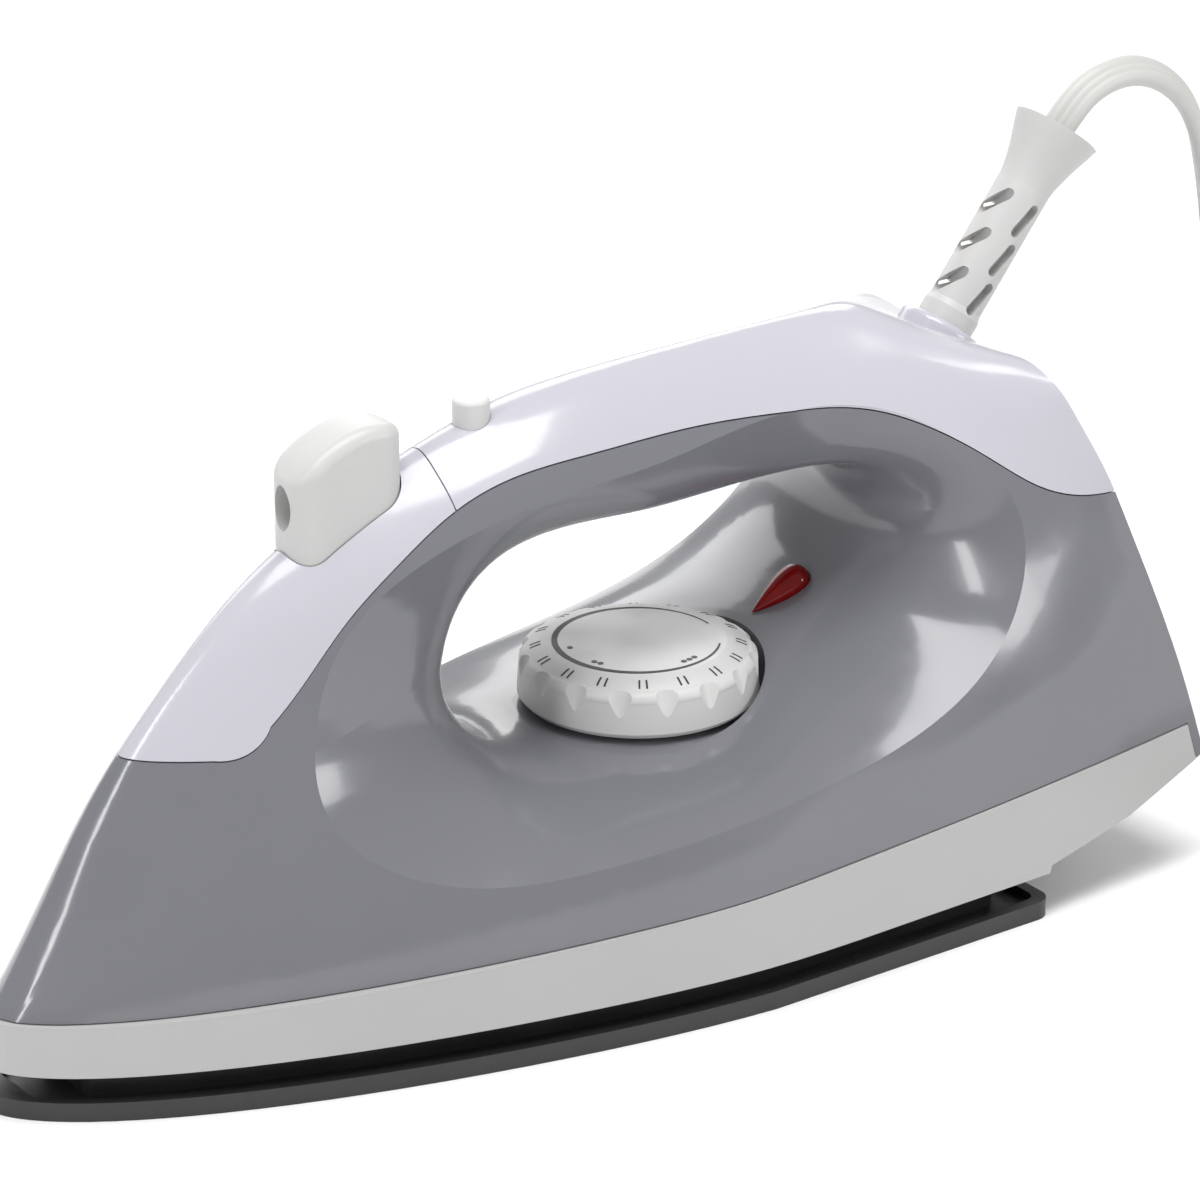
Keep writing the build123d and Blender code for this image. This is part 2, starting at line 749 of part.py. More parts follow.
with BuildPart() as plug_body:
    with BuildSketch(across(plug_nose_x - 22)):
        with Locations((plug_y, 8.2)):
            RectangleRounded(24, 16, 5)
    extrude(amount=20)
    with BuildSketch(across(plug_nose_x - 2)):
        with Locations((plug_y, 8.2)):
            RectangleRounded(24, 16, 5)
    with BuildSketch(across(plug_nose_x + 12)):
        with Locations((plug_y, 8.2)):
            RectangleRounded(11, 9.5, 3.5)
    loft()
    fillet(plug_body.faces().sort_by(Axis.X)[0].edges(), 1.8)
save(plug_body.part, "plug_body")

with BuildPart() as plug_blades:
    with BuildSketch(across(plug_nose_x - 22)):
        with Locations((plug_y - 6.35, 8.2), (plug_y + 6.35, 8.2)):
            RectangleRounded(1.5, 6.3, 0.4)
    extrude(amount=-16)
save(plug_blades.part, "plug_blades")

# ---------------------------------------------------------------- dial
with BuildPart() as dial_knob:
    with BuildSketch(side(0)):
        with BuildLine():
            Polyline((dial_x, dial_bottom), (dial_x + dial_radius - 0.8, dial_bottom),
                     (dial_x + dial_radius, dial_bottom + 1.0),
                     (dial_x + dial_radius - 0.4, dial_rim - 2.4))
            ThreePointArc((dial_x + dial_radius - 0.4, dial_rim - 2.4),
                          (dial_x + dial_radius - 0.8, dial_rim - 0.8),
                          (dial_x + dial_radius - 2.2, dial_rim))
            ThreePointArc((dial_x + dial_radius - 2.2, dial_rim),
                          (dial_x + 20.4, dial_top - 0.5),
                          (dial_x + dial_flat, dial_top))
            Polyline((dial_x + dial_flat, dial_top), (dial_x, dial_top), (dial_x, dial_bottom))
        make_face()
    revolve(axis=Axis(place(dial_x, 0, 0), (0, 0, 1)))
    with Locations(place(dial_x, 0, dial_bottom + 3.8)):
        with PolarLocations(dial_radius + 1.5, dial_scallops):
            Cone(1.4, 4.4, 8.0, align=(Align.CENTER, Align.CENTER, Align.MIN), mode=Mode.SUBTRACT)
    with BuildSketch(plan(dial_bottom)):
        with Locations((dial_x, 0)):
            Circle(shaft_radius + 0.02)
    extrude(amount=6.5, mode=Mode.SUBTRACT)
save(dial_knob.part, "dial_knob")

with BuildPart() as dial_ring:
    with BuildSketch(plan(dial_top)):
        with Locations(ring_point(ring_taper, 175)):
            Circle(ring_radius + 0.8)
        with Locations((dial_x, 0)):
            Circle(ring_radius, mode=Mode.SUBTRACT)
        with BuildLine():
            Polyline((dial_x, 0), ring_point(30, -43), ring_point(30, -6), (dial_x, 0))
        make_face(mode=Mode.SUBTRACT)
    extrude(amount=0.08)
save(dial_ring.part, "dial_ring")

dot_groups = [(161, 1), (199, 2), (279, 3)]
dots = [(turn + 6.0 * (i - (count - 1) / 2), 14.6) for turn, count in dot_groups for i in range(count)]
ticks = [360 / dial_scallops * (k + 0.5) for k in range(dial_scallops)]
with BuildPart() as dial_marks:
    with BuildSketch(plan(dial_top)):
        with Locations(*[ring_point(distance, turn) for turn, distance in dots]):
            Circle(0.62)
    extrude(amount=0.08)
    with BuildSketch(side(0)):
        with BuildLine():
            ThreePointArc((dial_x + dial_radius - 2.2, dial_rim), (dial_x + 20.4, dial_top - 0.5),
                          (dial_x + dial_flat, dial_top))
            Line((dial_x + dial_flat, dial_top), (dial_x + dial_flat, dial_top + 0.08))
            ThreePointArc((dial_x + dial_flat, dial_top + 0.08), (dial_x + 20.4, dial_top - 0.42),
                          (dial_x + dial_radius - 2.2, dial_rim + 0.08))
            Line((dial_x + dial_radius - 2.2, dial_rim + 0.08), (dial_x + dial_radius - 2.2, dial_rim))
        make_face()
    revolve(axis=Axis(place(dial_x, 0, 0), (0, 0, 1)))
    with BuildSketch(plan(dial_rim - 1)):
        with Locations(*[ring_point(distance, turn) for turn, distance in dots]):
            Circle(0.62)
        for turn in ticks:
            for lean in (-2.0, 2.0):
                x, y = ring_point(21.2, turn + lean)
                with Locations(Location((x, y, 0), (0, 0, turn + lean))):
                    Rectangle(2.2, 0.38)
    extrude(amount=4, mode=Mode.INTERSECT)
save(dial_marks.part, "dial_marks")

with BuildPart() as dial_shaft:
    with BuildSketch(plan(36)):
        with Locations((dial_x, 0)):
            Circle(shaft_radius)
    extrude(amount=dial_bottom + 6.5 - 36)
save(dial_shaft.part, "dial_shaft")
save(upright(dial_x, 0, 42.6, 43.8, 4.6, shaft_radius), "dial_clip")
save(upright(dial_x, 0, pocket_floor - wall, pocket_floor, bush_outer, shaft_radius + 0.05), "dial_bush")

# ---------------------------------------------------------------- thermostat
save(block(140, 170, -9, 9, shield_height + shield_thickness, 24.0), "thermostat_bracket")
with BuildPart() as thermostat_base:
    add(upright(dial_x, 0, 24.0, 31.0, 11))
    add(upright(dial_x, 0, 31.0, 40.0, 5.4))
    add(upright(dial_x, 0, 35.5, 40.0, shaft_radius + 0.05), mode=Mode.SUBTRACT)
save(thermostat_base.part, "thermostat_base")
group("contact_blades", [block(166.2, 184, y - 2.2, y + 2.2, 27.0, 27.5) for y in (-5, 5)])
save(block(131, 143.5, -4, 4, 24.2, 25.0), "bimetal_strip")

# ---------------------------------------------------------------- water tank, pump and spray head
tank_room = block(36, 128, -60, 60, 24.4, 79.6)
tank_outer = (hull(4.8) - opening(4.8)) & tank_room
tank_inner = (hull(6.4) - opening(6.4)) & block(37.6, 126.4, -60, 60, 26.0, 78.0)
with BuildPart() as neck:
    with BuildSketch(plan(79.6)):
        add(rounded_block_outline(71, 95, 7.2, 3))
        add(rounded_block_outline(72.5, 93.5, 5.7, 2), mode=Mode.SUBTRACT)
    extrude(amount=11.8)
    with BuildSketch(plan(76)):
        add(rounded_block_outline(72.5, 93.5, 5.7, 2))
tank = tank_outer - tank_inner
save(tank, "water_tank")
save(neck.part, "filler_neck")

save(upright(button_x, 0, 95.0, pump_top, 5.2, 3.3) + upright(button_x, 0, 93.6, 95.0, 5.2), "pump_body")
save(tube_along([place(108.7, 0, 98), place(99.0, 0, 97), place(98.4, 0, 79.7)], [4], 1.4),
     "pump_inlet_tube")
save(tube_along([place(108.7, 0, 104.5), place(103, 0, 104.5), place(97.4, 0, 102.5)], [4], 1.4),
     "nozzle_tube")

with BuildPart() as spray_button:
    with BuildSketch(plan(flange_bottom)):
        with Locations((button_x, 0)):
            Circle(button_radius + 0.9)
    extrude(amount=1.0)
    with BuildSketch(plan(flange_bottom + 1)):
        with Locations((button_x, 0)):
            Circle(button_radius)
    extrude(amount=button_top - flange_bottom - 1)
    fillet(spray_button.edges().sort_by(Axis.Z)[-1:], 0.8)
save(spray_button.part, "spray_button")

with BuildPart() as pump_piston:
    add(upright(button_x, 0, 104.0, flange_bottom, 3.24))
    add(upright(button_x, 0, 105.0, 106.4, 4, 2.5), mode=Mode.SUBTRACT)
save(pump_piston.part, "pump_piston")
save(upright(button_x, 0, 105.0, 106.4, 3.28, 2.5), "piston_seal")

with BuildPart() as button_spring:
    with BuildLine() as coils:
        Helix(pitch=1.6, height=8.0, radius=2.5, center=place(button_x, 0, 95.5))
    with BuildSketch(Plane(coils.wires()[0] @ 0, z_dir=coils.wires()[0] % 0)):
        Circle(0.35)
    sweep(path=coils.wires()[0])
save(button_spring.part, "button_spring")

with BuildPart() as spray_head:
    with BuildSketch(plan(head_floor + 2.2)):
        add(head_outline)
    extrude(amount=40)
    with BuildSketch(side(20)) as crown:
        with BuildLine():
            Spline((head_front - 2, 111.2), (73.0, 118.0), (79.5, 121.8), (87, 123.4),
                   (head_rear + 1, 120.6))
            Polyline((head_rear + 1, 120.6), (head_rear + 1, 150), (head_front - 2, 150),
                     (head_front - 2, 111.2))
        make_face()
    extrude(amount=40, mode=Mode.SUBTRACT)
    fillet(spray_head.faces().sort_by(Axis.Z)[-1].edges(), 2.6)
    with BuildSketch(across(head_front - 1)):
        with Locations((0, nozzle_height)):
            Ellipse(2.7, 4.7)
    extrude(amount=7.2, mode=Mode.SUBTRACT)
    with BuildSketch(plan(86.5)):
        add(rounded_block_outline(74.6, 91.4, 4.3, 1.5))
    extrude(amount=head_floor + 2.2 - 86.5)
save(spray_head.part, "spray_head")

with BuildPart() as nozzle_insert:
    with BuildSketch(across(head_front + 6.18)):
        with Locations((0, nozzle_height)):
            Circle(2.1)
            Circle(0.6, mode=Mode.SUBTRACT)
    extrude(amount=-1.4)
save(nozzle_insert.part, "nozzle_insert")

with BuildPart() as head_seal:
    with BuildSketch(plan(87.6)):
        add(rounded_block_outline(73.0, 93.0, 5.4, 1.9))
        add(rounded_block_outline(74.6, 91.4, 4.3, 1.5), mode=Mode.SUBTRACT)
    extrude(amount=1.6)
save(head_seal.part, "head_seal")

# ---------------------------------------------------------------- lamp and wiring
save(lens_form(0), "pilot_lens")
lamp = Plane(place(190, 0, 53.4), z_dir=(1, 0, 0.42))
with BuildPart() as neon_lamp:
    with BuildSketch(lamp):
        Circle(2.2)
    extrude(amount=11)
    fillet(neon_lamp.edges().group_by(Axis.X)[-1], 1.6)
save(neon_lamp.part, "neon_lamp")
with BuildPart() as lamp_resistor:
    with BuildSketch(Plane(place(206, 8, 50), z_dir=(1, 0, 0))):
        Circle(1.5)
    extrude(amount=8)
save(lamp_resistor.part, "lamp_resistor")
with BuildPart() as thermal_fuse:
    with BuildSketch(Plane(place(176, 22, 24.2), z_dir=(1, 0, 0))):
        Circle(2.0)
    extrude(amount=13)
save(thermal_fuse.part, "thermal_fuse")

with BuildPart() as terminal_block:
    add(block(226, 240, -14, 14, 44, 56))
    with BuildSketch(plan(56)):
        with Locations(*[(233, y) for y in terminal_rows]):
            Circle(2.2)
    extrude(amount=-5, mode=Mode.SUBTRACT)
    with BuildSketch(plan(51)):
        with Locations(*[(233, y) for y in terminal_rows]):
            Circle(1.25)
    extrude(amount=-5, mode=Mode.SUBTRACT)
save(terminal_block.part, "terminal_block")
group("terminal_screws", [
    screw(Plane(place(233, y, 51.02)), 1.2, 4.5, 2.0, 1.8) for y in terminal_rows
])
group("lead_wires", [
    tube_along(route, radii, 1.1) for route, radii in (
        ([place(225.9, -9, 47), place(214, -10, 45), place(207, -13, 27), place(190, -13, 25.0)],
         [6, 6]),
        ([place(225.9, 0, 47), place(210, 0, 46), place(190, 5, 40), place(184.2, 5, 30.5)], [6, 4]),
        ([place(225.9, 9, 47), place(214, 10, 45), place(206, 13, 26), place(190, 13, 24.3)],
         [6, 6]),
    )
])
clamp_bar = block(222, 236, -11, 11, 76, 80)
for y in (-8, 8):
    clamp_bar -= upright(229, y, 70, 90, 1.5)
save(clamp_bar, "cord_clamp")
group("clamp_screws", [screw(Plane(place(229, y, 80.02)), 1.4, 3.8, 2.4, 1.6) for y in (-8, 8)])
inner_route = [
    tuple(guard_axis.from_local_coords((0, 0, -7.1))), place(229.5, 0, 95), place(229.0, 0, 80.1),
]
save(tube_along(inner_route, [10], 3.2), "inner_cord")
print("pieces written", len(os.listdir("parts")))
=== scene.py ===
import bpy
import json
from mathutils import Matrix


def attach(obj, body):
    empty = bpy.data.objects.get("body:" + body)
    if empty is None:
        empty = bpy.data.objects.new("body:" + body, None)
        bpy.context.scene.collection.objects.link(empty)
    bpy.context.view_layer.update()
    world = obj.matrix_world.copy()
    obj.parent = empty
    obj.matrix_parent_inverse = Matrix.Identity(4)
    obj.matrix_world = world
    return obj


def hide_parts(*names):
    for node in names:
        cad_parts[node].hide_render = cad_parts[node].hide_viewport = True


bl_info = {
    "name": "Clothes Iron",
    "version": (1, 0, 0),
    "blender": (4, 5, 0),
    "location": "3D View > Sidebar > Clothes Iron",
    "description": "Finishes a light household spray iron, its flat cord and its studio",
    "category": "Object",
}

import json
import math

import bmesh
import bpy
from mathutils import Matrix, Vector

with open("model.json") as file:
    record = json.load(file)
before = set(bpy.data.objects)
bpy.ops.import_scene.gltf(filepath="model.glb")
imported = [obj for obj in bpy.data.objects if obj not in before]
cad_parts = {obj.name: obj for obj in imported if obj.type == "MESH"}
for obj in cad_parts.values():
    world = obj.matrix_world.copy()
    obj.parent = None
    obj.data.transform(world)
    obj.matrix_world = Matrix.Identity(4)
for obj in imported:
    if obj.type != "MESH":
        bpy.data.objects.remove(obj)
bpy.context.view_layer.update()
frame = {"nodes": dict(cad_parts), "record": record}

# ---------------------------------------------------------------- settings


class IronHousingSettings(bpy.types.PropertyGroup):
    grey: bpy.props.FloatVectorProperty(
        name="Housing grey", description="Colour of the glossy lower housing",
        subtype="COLOR", size=3, min=0, max=1, default=(0.175, 0.177, 0.196))
    pearl: bpy.props.FloatVectorProperty(
        name="Cover white", description="Colour of the glossy nose and handle covers",
        subtype="COLOR", size=3, min=0, max=1, default=(0.520, 0.512, 0.568))
    skirt: bpy.props.FloatVectorProperty(
        name="Skirt white", description="Colour of the skirt below the housing",
        subtype="COLOR", size=3, min=0, max=1, default=(0.455, 0.455, 0.455))
    gloss: bpy.props.FloatProperty(
        name="Housing roughness", description="How sharp the housing's reflections are",
        min=0.02, max=1, default=0.16)


class IronControlSettings(bpy.types.PropertyGroup):
    knob: bpy.props.FloatVectorProperty(
        name="Control white", description="Colour of the dial, the spray button and the spray head",
        subtype="COLOR", size=3, min=0, max=1, default=(0.640, 0.640, 0.633))
    lens: bpy.props.FloatVectorProperty(
        name="Lens red", description="Colour of the pilot lamp's lens",
        subtype="COLOR", size=3, min=0, max=1, default=(0.260, 0.003, 0.002))
    ink: bpy.props.FloatVectorProperty(
        name="Print", description="Colour of the printing on the dial",
        subtype="COLOR", size=3, min=0, max=1, default=(0.030, 0.030, 0.034))


class IronCordSettings(bpy.types.PropertyGroup):
    width: bpy.props.FloatProperty(
        name="Cord width", description="Width of the flat mains cord over its three cores",
        subtype="DISTANCE", unit="LENGTH", default=0.0070)
    thickness: bpy.props.FloatProperty(
        name="Cord thickness", description="Thickness of the flat mains cord",
        subtype="DISTANCE", unit="LENGTH", default=0.0039)
    turn: bpy.props.FloatProperty(
        name="Cord turn", description="How far the flat cord is turned where it leaves the guard",
        subtype="ANGLE", unit="ROTATION", default=math.radians(49))
    colour: bpy.props.FloatVectorProperty(
        name="Cord white", description="Colour of the vinyl sheath",
        subtype="COLOR", size=3, min=0, max=1, default=(0.560, 0.565, 0.543))
    outer_turn: bpy.props.FloatProperty(
        name="Outer turn radius", description="Radius of the coil's outer turns",
        subtype="DISTANCE", unit="LENGTH", default=0.0414)
    inner_turn: bpy.props.FloatProperty(
        name="Inner turn radius", description="Radius of the coil's inner turns",
        subtype="DISTANCE", unit="LENGTH", default=0.0346)


class IronStageSettings(bpy.types.PropertyGroup):
    floor: bpy.props.FloatVectorProperty(
        name="Floor", description="Colour of the studio floor",
        subtype="COLOR", size=3, min=0, max=1, default=(0.97, 0.97, 0.97))
    azimuth: bpy.props.FloatProperty(
        name="Camera azimuth", description="Direction of the camera round the iron",
        subtype="ANGLE", unit="ROTATION", default=math.radians(-36.0))
    elevation: bpy.props.FloatProperty(
        name="Camera elevation", description="Height of the camera above the floor",
        subtype="ANGLE", unit="ROTATION", default=math.radians(22.66))
    distance: bpy.props.FloatProperty(
        name="Camera distance", description="Distance from the lens to the point it looks at",
        subtype="DISTANCE", unit="LENGTH", default=1.05)
    lens: bpy.props.FloatProperty(
        name="Camera lens", description="Focal length on a 36 mm sensor", default=155.08)


# ---------------------------------------------------------------- finishes


def new_finish(name):
    """A new material, its node tree and its shader."""
    material = bpy.data.materials.new(name)
    material.use_nodes = True
    tree = material.node_tree
    return material, tree, tree.nodes["Principled BSDF"]


def texture(tree, kind, scale, stretch=(1, 1, 1), detail=3.0):
    """A texture in the piece's own coordinates; scale counts features per metre."""
    place = tree.nodes.new("ShaderNodeTexCoord")
    fit = tree.nodes.new("ShaderNodeMapping")
    fit.inputs["Scale"].default_value = [scale * s for s in stretch]
    grain = tree.nodes.new(kind)
    grain.inputs["Scale"].default_value = 1.0
    if "Detail" in grain.inputs:
        grain.inputs["Detail"].default_value = detail
    tree.links.new(place.outputs["Object"], fit.inputs["Vector"])
    tree.links.new(fit.outputs["Vector"], grain.inputs["Vector"])
    return grain


def spread(tree, source, low, high, output=0, clip=(0.3, 0.7)):
    """The texture's middle range, stretched to run from low to high."""
    span = tree.nodes.new("ShaderNodeMapRange")
    span.inputs["From Min"].default_value = clip[0]
    span.inputs["From Max"].default_value = clip[1]
    span.inputs["To Min"].default_value = low
    span.inputs["To Max"].default_value = high
    tree.links.new(source.outputs[output], span.inputs["Value"])
    return span.outputs["Result"]


def tint(tree, source, first, second):
    """A colour between two, chosen by the source."""
    blend = tree.nodes.new("ShaderNodeMix")
    blend.data_type = "RGBA"
    blend.inputs["A"].default_value = (*first, 1)
    blend.inputs["B"].default_value = (*second, 1)
    tree.links.new(source, blend.inputs["Factor"])
    return blend.outputs["Result"]


def shade(colour, amount):
    """The colour made darker or lighter."""
    return tuple(min(1.0, c * amount) for c in colour)


def relief(tree, shader, source, height, strength):
    """Raises the surface by the source, in metres at full strength."""
    bump = tree.nodes.new("ShaderNodeBump")
    bump.inputs["Strength"].default_value = strength
    bump.inputs["Distance"].default_value = height
    tree.links.new(source, bump.inputs["Height"])
    tree.links.new(bump.outputs["Normal"], shader.inputs["Normal"])


def moulding(name, colour, roughness, mottle=0.03, grain=900, height=0.00002, strength=0.15,
             uneven=0.25, **sockets):
    """Moulded plastic or rubber: a little colour drift, uneven gloss and a fine skin."""
    material, tree, shader = new_finish(name)
    drift = texture(tree, "ShaderNodeTexNoise", 22, detail=4.0)
    tree.links.new(
        tint(tree, spread(tree, drift, 0, 1), shade(colour, 1 - mottle), shade(colour, 1 + mottle)),
        shader.inputs["Base Color"])
    cloud = texture(tree, "ShaderNodeTexNoise", 60, detail=5.0)
    tree.links.new(
        spread(tree, cloud, roughness * (1 - uneven), roughness * (1 + uneven)),
        shader.inputs["Roughness"])
    skin = texture(tree, "ShaderNodeTexNoise", grain, detail=2.0)
    relief(tree, shader, skin.outputs[0], height, strength)
    for socket, value in sockets.items():
        shader.inputs[socket.replace("_", " ")].default_value = value
    return material


def metal(name, colour, roughness, stretch=(1, 14, 14), lines=700, strength=0.25, uneven=0.35,
          **sockets):
    """Drawn or plated metal with fine lines along one way."""
    material, tree, shader = new_finish(name)
    lay = texture(tree, "ShaderNodeTexNoise", lines / 10, stretch, detail=6.0)
    tree.links.new(
        tint(tree, spread(tree, lay, 0, 1), shade(colour, 0.90), shade(colour, 1.06)),
        shader.inputs["Base Color"])
    tree.links.new(
        spread(tree, lay, roughness * (1 - uneven), roughness * (1 + uneven)),
        shader.inputs["Roughness"])
    relief(tree, shader, lay.outputs[0], 0.00002, strength)
    shader.inputs["Metallic"].default_value = 1.0
    for socket, value in sockets.items():
        shader.inputs[socket.replace("_", " ")].default_value = value
    return material


def nonstick(name):
    """Black sprayed coating with a fine mica fleck, satin and slightly pebbled."""
    material, tree, shader = new_finish(name)
    fleck = texture(tree, "ShaderNodeTexVoronoi", 1500)
    tree.links.new(
        tint(tree, spread(tree, fleck, 1, 0, clip=(0.06, 0.16)),
             (0.020, 0.020, 0.022), (0.085, 0.083, 0.080)),
        shader.inputs["Base Color"])
    cloud = texture(tree, "ShaderNodeTexNoise", 90, detail=5.0)
    tree.links.new(spread(tree, cloud, 0.34, 0.50), shader.inputs["Roughness"])
    pebble = texture(tree, "ShaderNodeTexNoise", 1400, detail=3.0)
    relief(tree, shader, pebble.outputs[0], 0.00004, 0.35)
    shader.inputs["Specular IOR Level"].default_value = 0.6
    return material


def clear_red(name, colour):
    """Tinted acrylic: deep inside, bright where it is thin."""
    material, tree, shader = new_finish(name)
    drift = texture(tree, "ShaderNodeTexNoise", 240, detail=2.0)
    tree.links.new(
        tint(tree, spread(tree, drift, 0, 1), shade(colour, 0.80), shade(colour, 1.10)),
        shader.inputs["Base Color"])
    cloud = texture(tree, "ShaderNodeTexNoise", 400, detail=2.0)
    tree.links.new(spread(tree, cloud, 0.05, 0.10), shader.inputs["Roughness"])
    shader.inputs["IOR"].default_value = 1.49
    shader.inputs["Specular IOR Level"].default_value = 0.35
    shader.inputs["Transmission Weight"].default_value = 0.15
    return material


def paint(piece, material):
    """Puts the finish in every slot of a carried-over or new piece."""
    if not piece.material_slots:
        piece.data.materials.append(material)
    for place in piece.material_slots:
        place.material = material


def paint_nodes(finishes):
    """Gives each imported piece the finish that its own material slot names."""
    for part in frame["record"]["subparts"]:
        if part["material_slot"] in finishes:
            paint(frame["nodes"][part["node"]], finishes[part["material_slot"]])


# ---------------------------------------------------------------- the flat cord

# Points the cord follows, from inside the guard's bell, over the loop and down to the coil.
CORD_ROUTE = (
    (0.127425, 0.0, 0.14527), (0.134475, 0.0, 0.1542), (0.143175, 0.0, 0.1586),
    (0.153275, 0.0, 0.1586), (0.162675, 0.0, 0.1537), (0.169275, 0.0, 0.1456),
    (0.173475, 0.0, 0.1320), (0.177675, 0.0006, 0.112), (0.182475, 0.0020, 0.088),
    (0.188275, 0.0044, 0.064), (0.196475, 0.0080, 0.042), (0.207875, 0.0124, 0.024),
    (0.220875, 0.0156, 0.0126), (0.230875, 0.0170, 0.0086),
)
TAIL_ROUTE = (
    (0.232875, -0.06575, 0.0112), (0.218875, -0.0682, 0.0102), (0.204875, -0.0724, 0.0092),
    (0.192875, -0.0780, 0.0085), (0.180875, -0.0810, 0.0082),
)
COIL_CENTRE = (0.238875, -0.0240)
COIL_LEVELS = (0.0030, 0.0030, 0.0073, 0.0073, 0.0116, 0.0116)
POINTS_A_TURN = 16
POINTS_TO_CHANGE_RADIUS = 3
TURN_EASES_OVER = 0.16


def coil_turns(outer, inner):
    """Five laps and a half, clockwise seen from above, two side by side on each level."""
    radii = (outer, inner, inner, outer, inner, outer)
    points = []
    last = len(radii) - 1
    for lap in range(last + 1):
        steps = POINTS_A_TURN if lap < last else POINTS_A_TURN // 2
        for step in range(steps):
            angle = math.radians(90) - math.tau * step / POINTS_A_TURN
            change = min(1.0, (step + 1) / POINTS_TO_CHANGE_RADIUS) if lap else 1.0
            before = max(lap - 1, 0)
            radius = radii[before] + (radii[lap] - radii[before]) * change
            height = COIL_LEVELS[before] + (COIL_LEVELS[lap] - COIL_LEVELS[before]) * change
            points.append((COIL_CENTRE[0] + radius * math.cos(angle),
                           COIL_CENTRE[1] + radius * math.sin(angle), height))
    return points


def smooth_line(name, points):
    """The points of a smooth line through space, read from a NURBS spline."""
    curve = bpy.data.curves.new(name, "CURVE")
    curve.dimensions = "3D"
    curve.resolution_u = 10
    spline = curve.splines.new("NURBS")
    spline.points.add(len(points) - 1)
    for control, place in zip(spline.points, points):
        control.co = (*place, 1)
    spline.order_u = 3
    spline.use_endpoint_u = True
    guide = bpy.data.objects.new(name, curve)
    bpy.context.collection.objects.link(guide)
    mesh = bpy.data.meshes.new_from_object(guide)
    line = [v.co.copy() for v in mesh.vertices]
    bpy.data.objects.remove(guide)
    bpy.data.curves.remove(curve)
    bpy.data.meshes.remove(mesh)
    return line


def flat_section(width, thickness, cores=3, steps=10):
    """Outline of a flat cord: a row of cores with a groove between each pair."""
    pitch = (width - thickness) / (cores - 1)
    half = thickness / 2
    web = math.acos(min(1.0, pitch / 2 / half)) if pitch / 2 < half else 0.0
    outline = []
    for side in (1, -1):
        for core in (range(cores - 1, -1, -1) if side > 0 else range(cores)):
            middle = (core - (cores - 1) / 2) * pitch
            first, last = (web, math.pi - web)
            if side > 0 and core == cores - 1:
                first = 0.0
            if side > 0 and core == 0:
                last = math.pi
            if side < 0:
                first, last = math.pi + web, math.tau - web
                if core == 0:
                    first = math.pi
                if core == cores - 1:
                    last = math.tau
            for i in range(steps):
                angle = first + (last - first) * (i + 0.5) / steps
                outline.append((middle + half * math.cos(angle), half * math.sin(angle)))
    return outline


def sweep(name, line, outline, side, turned=0.0, until=0.0):
    """A tube of the given outline along a line; its first stretch is turned, and eases back."""
    verts, faces = [], []
    across = Vector(side)
    count = len(outline)
    gone = 0.0
    for i, point in enumerate(line):
        ahead = (line[min(i + 1, len(line) - 1)] - line[max(i - 1, 0)]).normalized()
        across = (across - ahead * across.dot(ahead)).normalized()
        gone += (point - line[i - 1]).length if i else 0.0
        left = max(0.0, 1 - gone / until) if until else 0.0
        ease = left * left * (3 - 2 * left)
        flat = Matrix.Rotation(turned * ease, 3, ahead) @ across
        up = flat.cross(ahead)
        verts += [point + flat * u + up * v for u, v in outline]
        if i:
            base = (i - 1) * count
            for k in range(count):
                n = (k + 1) % count
                faces.append((base + k, base + n, base + count + n, base + count + k))
    faces.append(tuple(range(count)))
    faces.append(tuple(reversed(range(len(verts) - count, len(verts)))))
    return new_mesh(name, verts, faces)


def new_mesh(name, verts, faces):
    """A smooth-shaded piece from its points and faces."""
    mesh = bpy.data.meshes.new(name)
    mesh.from_pydata([tuple(v) for v in verts], [], faces)
    working = bmesh.new()
    working.from_mesh(mesh)
    bmesh.ops.recalc_face_normals(working, faces=working.faces)
    working.to_mesh(mesh)
    working.free()
    for face in mesh.polygons:
        face.use_smooth = True
    piece = bpy.data.objects.new(name, mesh)
    bpy.context.collection.objects.link(piece)
    return piece


# ---------------------------------------------------------------- operators

FLOOR_RADIUS = 6
FLOOR_SIDES = 96
SENSOR_WIDTH = 36
LOOKED_AT = (0.012185, 0.0, 0.07133)


